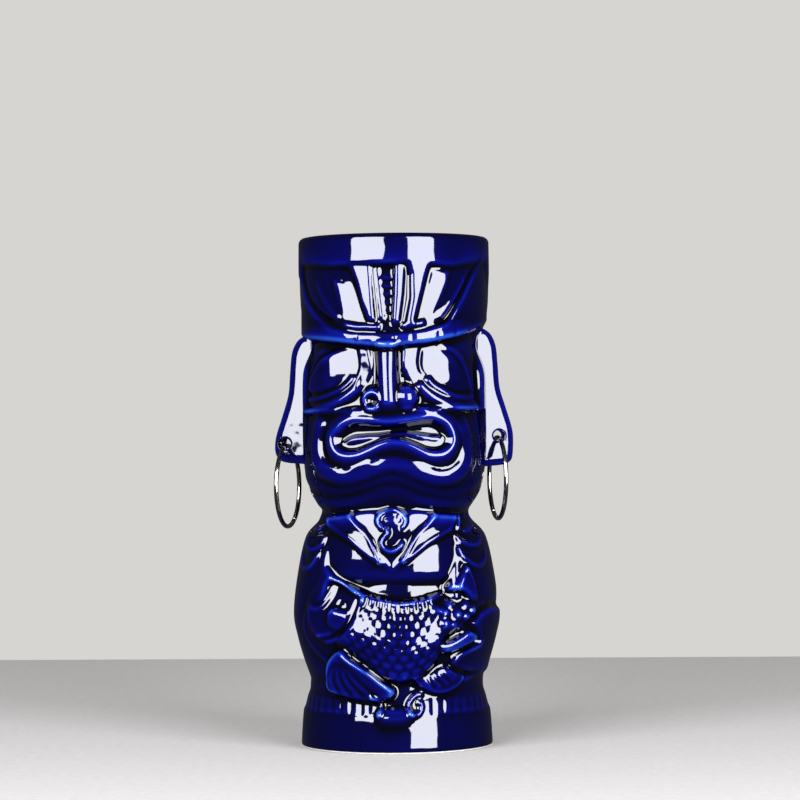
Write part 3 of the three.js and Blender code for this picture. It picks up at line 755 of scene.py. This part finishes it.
def add_strip(rings, spots, faces, gaps):
    """Joins rings of points, mirrored on the other face, into a strip, and gives its end rings' first points.
    Gaps gets how near each point is to the edge's middle, 0 on a face and 1 in the middle."""
    loops = [(p, -h) for p, h in rings[::-1]] + [(p, h) for p, h in rings]
    count = len(rings[0][0])
    first = sum(len(p) for p in spots)
    for n, (p, h) in enumerate(loops):
        spots.append(np.stack([p[:, 0], np.full(count, h), p[:, 1]], 1))
        gaps.append(np.full(count, min(n, len(loops) - 1 - n) / (len(rings) - 1)))
    for n in range(len(loops) - 1):
        for j in range(count):
            k = (j + 1) % count
            a, b = first + n * count, first + (n + 1) * count
            faces.append([a + j, a + k, b + k, b + j])
    return first, first + (len(loops) - 1) * count


def turned_outward(piece):
    """Turns every face of a closed piece outward."""
    tool = bmesh.new()
    tool.from_mesh(piece.data)
    bmesh.ops.recalc_face_normals(tool, faces=tool.faces)
    tool.to_mesh(piece.data)
    tool.free()


for hand, ear_size in EARS.items():
    side, stem, lobe = ear_size["side"], ear_size["stem"], ear_size["lobe"]
    top, hole, foot = CHEEK_Z + ear_size["top"], CHEEK_Z + ear_size["hole"], CHEEK_Z - ear_size["drop"]
    edge = curve_through([
        (-1.6, top - 0.5), (0.4, top - 0.9), (stem * 0.55, top - 3), (stem * 0.88, top - 7.4),
        (stem, top - 15), (stem + 0.6, top - 23), (lobe * 0.76, hole + 10.5), (lobe * 0.95, hole + 3.5),
        (lobe, hole - 1), (lobe * 0.96, foot + 3.2), (lobe * 0.82, foot + 1.0), (lobe * 0.56, foot + 0.1),
        (lobe * 0.2, foot - 0.2), (-1.6, foot - 0.3), (-3.3, foot + 2.2), (-3.5, (foot + top) / 2),
        (-3.3, top - 2.6),
    ], 10, closed=True)
    steps = np.concatenate([[0], np.cumsum(np.hypot(*np.diff(edge, axis=0).T))])
    at = np.linspace(0, steps[-1], RIM_POINTS, endpoint=False)
    rim = np.stack([np.interp(at, steps, edge[:, 0]), np.interp(at, steps, edge[:, 1])], 1)
    centre = np.array([lobe - ear_size["inset"], hole])
    along = np.roll(rim, -1, 0) - np.roll(rim, 1, 0)
    along /= np.hypot(*along.T)[:, None]
    inward = np.stack([along[:, 1], -along[:, 0]], 1) * (1 - 0.72 * ease((0.4 - rim[:, 0]) / 2.2))[:, None]
    circle = np.linspace(0, 2 * math.pi, HOLE_POINTS, endpoint=False)
    ray = np.stack([np.cos(circle), np.sin(circle)], 1)
    arc = np.radians([0, 15, 30, 45, 60, 75, 90])
    flat = EAR_THICK / 2
    outer = [(rim + inward * RIM_ROUND[0] * (1 - math.cos(a)), flat - RIM_ROUND[1] * (1 - math.sin(a)))
             for a in arc]
    outer.append((rim + inward * (RIM_ROUND[0] + 0.2), flat))
    inner = [(centre + ray * (HOLE_RADIUS + HOLE_ROUND[0] * (1 - math.cos(a))),
              flat - HOLE_ROUND[1] * (1 - math.sin(a))) for a in arc[::2]]
    inner.append((centre + ray * (HOLE_RADIUS + HOLE_ROUND[0] + 0.15), flat))

    spots, faces, gaps = [], [], []
    rim_ends = add_strip(outer, spots, faces, gaps)
    hole_ends = add_strip(inner, spots, faces, gaps)
    plan = [[Vector((x, z, 0)) for x, z in outer[-1][0]], [Vector((x, z, 0)) for x, z in inner[-1][0]]]
    for rim_start, hole_start in zip(rim_ends, hole_ends):
        for triangle in tessellate_polygon(plan):
            faces.append([rim_start + i if i < RIM_POINTS else hole_start + i - RIM_POINTS for i in triangle])
    slab = np.vstack(spots)
    slab[:, 1] += (slab[:, 2] - hole) * math.tan(EAR_LEAN)
    ear = mesh_piece(f"{hand}_ear_slab", in_ear_frame(slab, side), faces)
    turned_outward(ear)
    # The rounded rim is coloured lighter than the faces, lightest part-way round: partly glaze running off,
    # partly a painted highlight.
    edge_glaze_and_highlight = 1 - np.abs(np.concatenate(gaps) - ROUNDEST) / ROUNDEST
    glaze_and_shade_attribute = ear.data.attributes.new("glaze_and_painted_shade", "FLOAT", "POINT")
    glaze_and_shade_attribute.data.foreach_set("value", (FLAT_GLAZE + EDGE_GLAZE_AND_HIGHLIGHT * edge_glaze_and_highlight).astype(np.float32))
    ear.data.materials.append(cobalt)
    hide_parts(f"{hand}_ear")
    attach(ear, "mug")

# ---- Ear rings ------------------------------------------------------------------------------------------
# Each ring is one length of round steel wire, bent into a circle, nickel-plated and polished, opened to hang
# it in the ear's hole, and closed again so that its ends butt with a hair's gap.

RING_DIAMETER = 32.0
WIRE_DIAMETER = 1.7
WIRE_CLEARANCE = 0.45
RING_GAP = 0.5
GAP_BEARING = -60.0
RING_YAW = {"left": -4.2, "right": -4.0}
WIRE_STEPS = 160
WIRE_SIDES = 20
END_ROUNDING = 0.3
END_TAPER = [0.62, 0.87, 1.0]

# Polished nickel plate: bright, faintly warm, and a little uneven where fingers have dulled it.
nickel = new_material("polished_nickel_plate")
place = node(nickel, "ShaderNodeTexCoord").outputs["Object"]
haze = node(nickel, "ShaderNodeTexNoise", inputs={"Vector": place, "Scale": 420.0,
                                                  "Detail": 2.0}).outputs["Fac"]
polish = node(nickel, "ShaderNodeMapRange", inputs={"Value": haze, "To Min": 0.07,
                                                    "To Max": 0.2}).outputs["Result"]
warmth = ramp(nickel, haze, [(0.3, "#B7AFA2"), (0.7, "#D9D4C9")])
metal = node(nickel, "ShaderNodeBsdfPrincipled", inputs={"Base Color": warmth, "Metallic": 1.0,
                                                         "Roughness": polish})
node(nickel, "ShaderNodeOutputMaterial", inputs={"Surface": metal.outputs["BSDF"]})

for hand, ear_size in EARS.items():
    side = ear_size["side"]
    bend = (RING_DIAMETER - WIRE_DIAMETER) / 2
    seat = HOLE_RADIUS - WIRE_DIAMETER / 2 - WIRE_CLEARANCE
    middle = np.array([ear_size["lobe"] - ear_size["inset"], 0.0, CHEEK_Z + ear_size["hole"] - seat - bend])
    gap_turn = RING_GAP / bend
    end_turn = END_ROUNDING / bend
    start = math.radians(GAP_BEARING) + gap_turn / 2
    sweep = 2 * math.pi - gap_turn
    turns = np.concatenate([[0, 0.3 * end_turn, end_turn], np.linspace(0, sweep, WIRE_STEPS)[1:-1],
                            [sweep - end_turn, sweep - 0.3 * end_turn, sweep]])
    half = np.concatenate([END_TAPER, np.ones(WIRE_STEPS - 2), END_TAPER[::-1]]) * WIRE_DIAMETER / 2
    yaw = math.radians(RING_YAW[hand])
    side_on = np.array([math.cos(yaw), math.sin(yaw), 0])
    loops = []
    for t, wire in zip(start + turns, half):
        out = np.array([-math.sin(yaw) * math.cos(t), math.cos(yaw) * math.cos(t), math.sin(t)])
        ringed = [middle + out * (bend + wire * math.cos(s)) + side_on * wire * math.sin(s)
                  for s in np.linspace(0, 2 * math.pi, WIRE_SIDES, endpoint=False)]
        loops.append(ringed)
    ends = [np.mean(loops[0], 0), np.mean(loops[-1], 0)]
    spots = np.vstack(loops + [ends])
    ring = mesh_piece(f"{hand}_ring_wire", in_ear_frame(spots, side),
                      shell_faces(len(loops), WIRE_SIDES, len(spots) - 2, len(spots) - 1))
    turned_outward(ring)
    ring.data.materials.append(nickel)
    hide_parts(f"{hand}_ear_ring")
    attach(ring, f"{hand}_ring")

# ---- Table, light and camera ------------------------------------------------------------------------------
# A pale matt table top under plain studio light: two tall softboxes, one at each side of a camera that
# stands level with the figure's face. Sizes here are in metres.

TABLE_FRONT = -0.42
TABLE_BACK = 0.41
TABLE_SIDE = 1.3
table = mesh_piece("table_top", np.array([(-TABLE_SIDE, TABLE_FRONT, 0), (TABLE_SIDE, TABLE_FRONT, 0),
                                          (TABLE_SIDE, TABLE_BACK, 0), (-TABLE_SIDE, TABLE_BACK, 0)]) / MM,
                   [[0, 1, 2, 3]])

# Pale matt paper: an even grey-white sheet with a trace of fibre.
paper = new_material("pale_matt_paper")
place = node(paper, "ShaderNodeTexCoord").outputs["Object"]
fibre = node(paper, "ShaderNodeTexNoise", inputs={"Vector": place, "Scale": 300.0,
                                                  "Detail": 3.0}).outputs["Fac"]
sheet = ramp(paper, fibre, [(0.3, "#B7B4AF"), (0.7, "#BFBCB7")])
matt = node(paper, "ShaderNodeBsdfPrincipled", inputs={"Base Color": sheet, "Roughness": 0.9})
node(paper, "ShaderNodeOutputMaterial", inputs={"Surface": matt.outputs["BSDF"]})
table.data.materials.append(paper)
table.visible_glossy = False

CAMERA_DISTANCE = 1.118
CAMERA_HEIGHT = 0.1204
CAMERA_TURN = math.radians(2.4)
FACE_HEIGHT = 0.115
SOFTBOX_DISTANCE = 0.85
SOFTBOX_TINT = "#F4F6FF"
SOFTBOX_DIP = 0.25


def softbox(name, bearing, width, low, high, power):
    """A soft light that stands at a bearing from the camera's side of the mug and faces the mug."""
    lamp = bpy.data.lights.new(name, "AREA")
    lamp.shape = "RECTANGLE"
    lamp.size, lamp.size_y = width, high - low
    lamp.energy = power
    lamp.color = linear(SOFTBOX_TINT)[:3]
    spot = bpy.data.objects.new(name, lamp)
    turned = math.radians(bearing) + CAMERA_TURN
    away = (SOFTBOX_DISTANCE * math.sin(turned), -SOFTBOX_DISTANCE * math.cos(turned))
    spot.location = (*away, (low + high) / 2)
    aim = Vector((0, 0, FACE_HEIGHT)) - spot.location
    aim.z *= SOFTBOX_DIP
    spot.rotation_euler = aim.to_track_quat("-Z", "Y").to_euler()
    spot.visible_camera = False
    bpy.context.scene.collection.objects.link(spot)


softbox("left_softbox", bearing=-31.3, width=0.612, low=0.154, high=0.75, power=14.5)
softbox("right_softbox", bearing=32.5, width=0.488, low=-0.10, high=0.75, power=16.5)

world = bpy.data.worlds.new("studio")
bpy.context.scene.world = world
world.use_nodes = True
tree = world.node_tree
tree.nodes.clear()
rays = tree.nodes.new("ShaderNodeLightPath")


def sky_tone(code):
    """A plain sky of one colour."""
    tone = tree.nodes.new("ShaderNodeBackground")
    tone.inputs["Color"].default_value = linear(code)
    return tone.outputs[0]


def choose(where, one, other):
    """One sky for the rays where a condition holds, and another for the rest."""
    mix = tree.nodes.new("ShaderNodeMixShader")
    tree.links.new(rays.outputs[where], mix.inputs["Fac"])
    tree.links.new(other, mix.inputs[1])
    tree.links.new(one, mix.inputs[2])
    return mix.outputs[0]


fill = choose("Is Diffuse Ray", sky_tone("#B4B4B4"), sky_tone("#36373C"))
sky = tree.nodes.new("ShaderNodeOutputWorld")
tree.links.new(choose("Is Camera Ray", sky_tone("#D6D5D2"), fill), sky.inputs["Surface"])
bpy.context.scene.view_settings.view_transform = "Standard"

SENSOR_WIDTH = 36.0
FOCAL_LENGTH = 134.0
CAMERA_TARGET = (0.0020, 0, 0.12923)
CAMERA_ROLL = math.radians(-0.44)
lens = bpy.data.cameras.new("camera")
lens.sensor_width = SENSOR_WIDTH
lens.lens = FOCAL_LENGTH
camera = bpy.data.objects.new("camera", lens)
back = (CAMERA_DISTANCE * math.sin(CAMERA_TURN), -CAMERA_DISTANCE * math.cos(CAMERA_TURN))
camera.location = (*back, CAMERA_HEIGHT)
look = (Vector(CAMERA_TARGET) - camera.location).to_track_quat("-Z", "Y")
camera.rotation_euler = (look.to_matrix().to_4x4() @ Matrix.Rotation(CAMERA_ROLL, 4, "Z")).to_euler()
bpy.context.scene.collection.objects.link(camera)
bpy.context.scene.camera = camera
